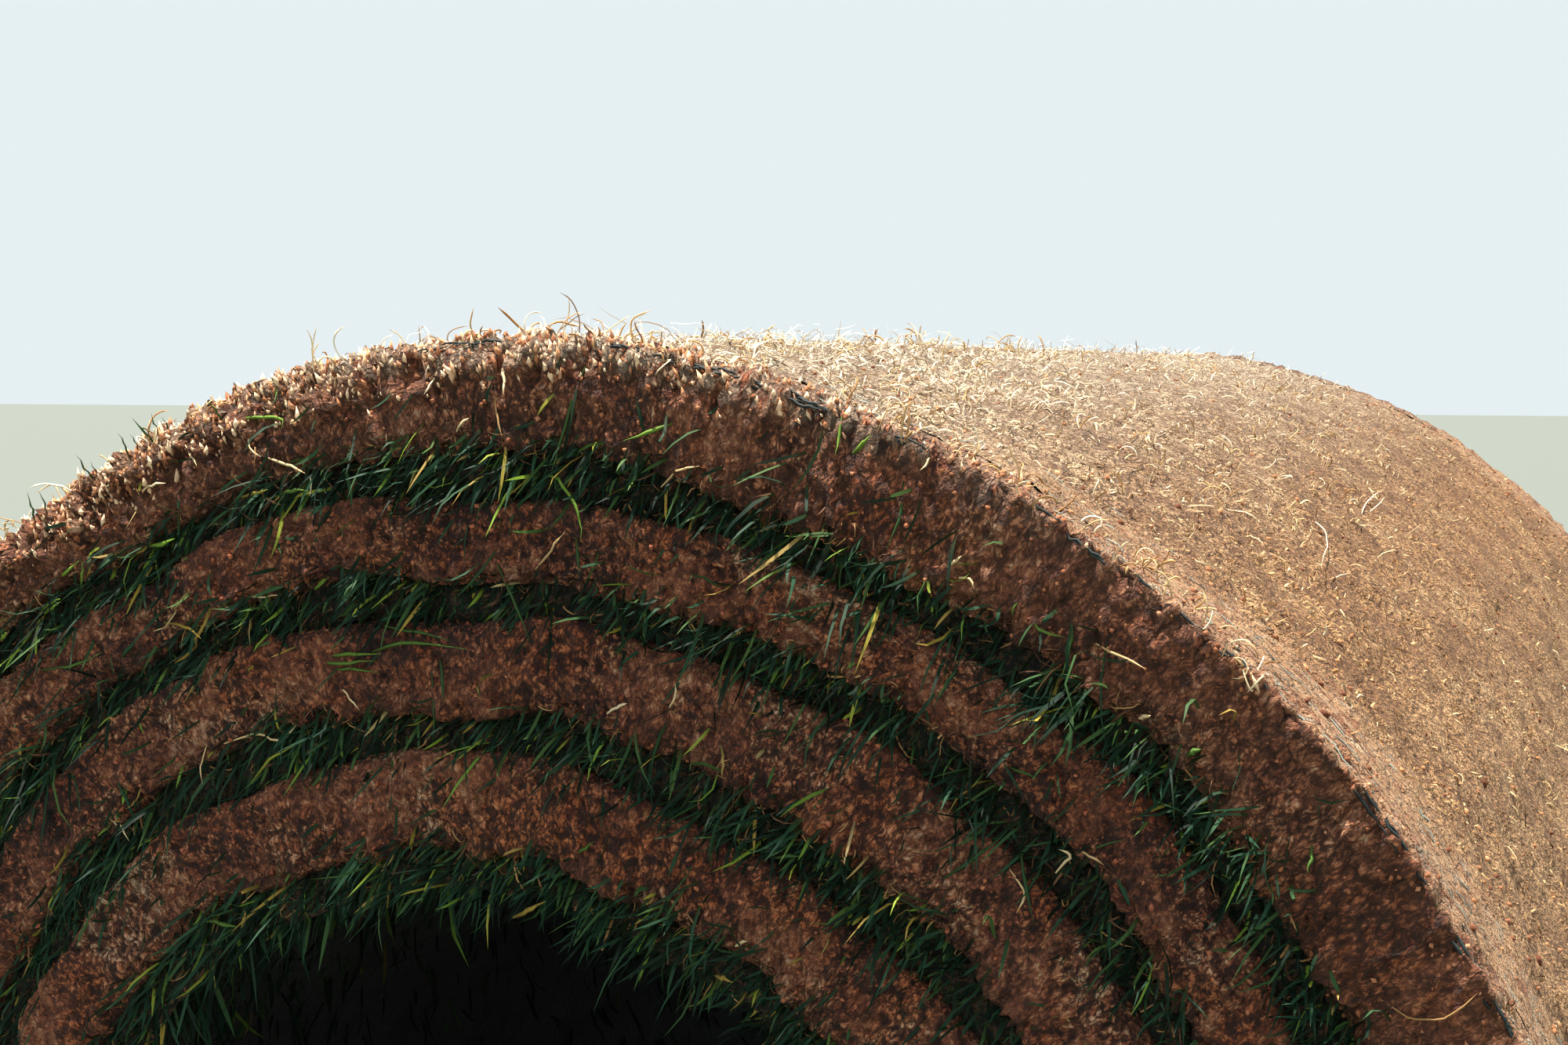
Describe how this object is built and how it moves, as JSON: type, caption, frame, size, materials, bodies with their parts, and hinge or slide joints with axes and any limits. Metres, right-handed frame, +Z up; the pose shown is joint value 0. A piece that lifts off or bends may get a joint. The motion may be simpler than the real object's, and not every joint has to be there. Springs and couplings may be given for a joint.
{
  "type": "roll of turf",
  "caption": "Big roll of thick-cut sports turf lying on its side, wound soil side out round an open bore, with its grass layer set back between the turns at both ends.",
  "frame": {"origin": "centre of the roll's underside, on the floor it lies on", "axes": "+Z up; Y along the roll's axis and the strip's width; the strip winds inwards from its tail at -X, over the top, to +X"},
  "size_m": [0.86, 1.2, 0.833],
  "materials": {
    "turf": "crumbly sandy soil bound by grass roots, matt, with green grass between the turns"
  },
  "bodies": {
    "root": {"turf_roll": "turf"}
  },
  "joints": []
}
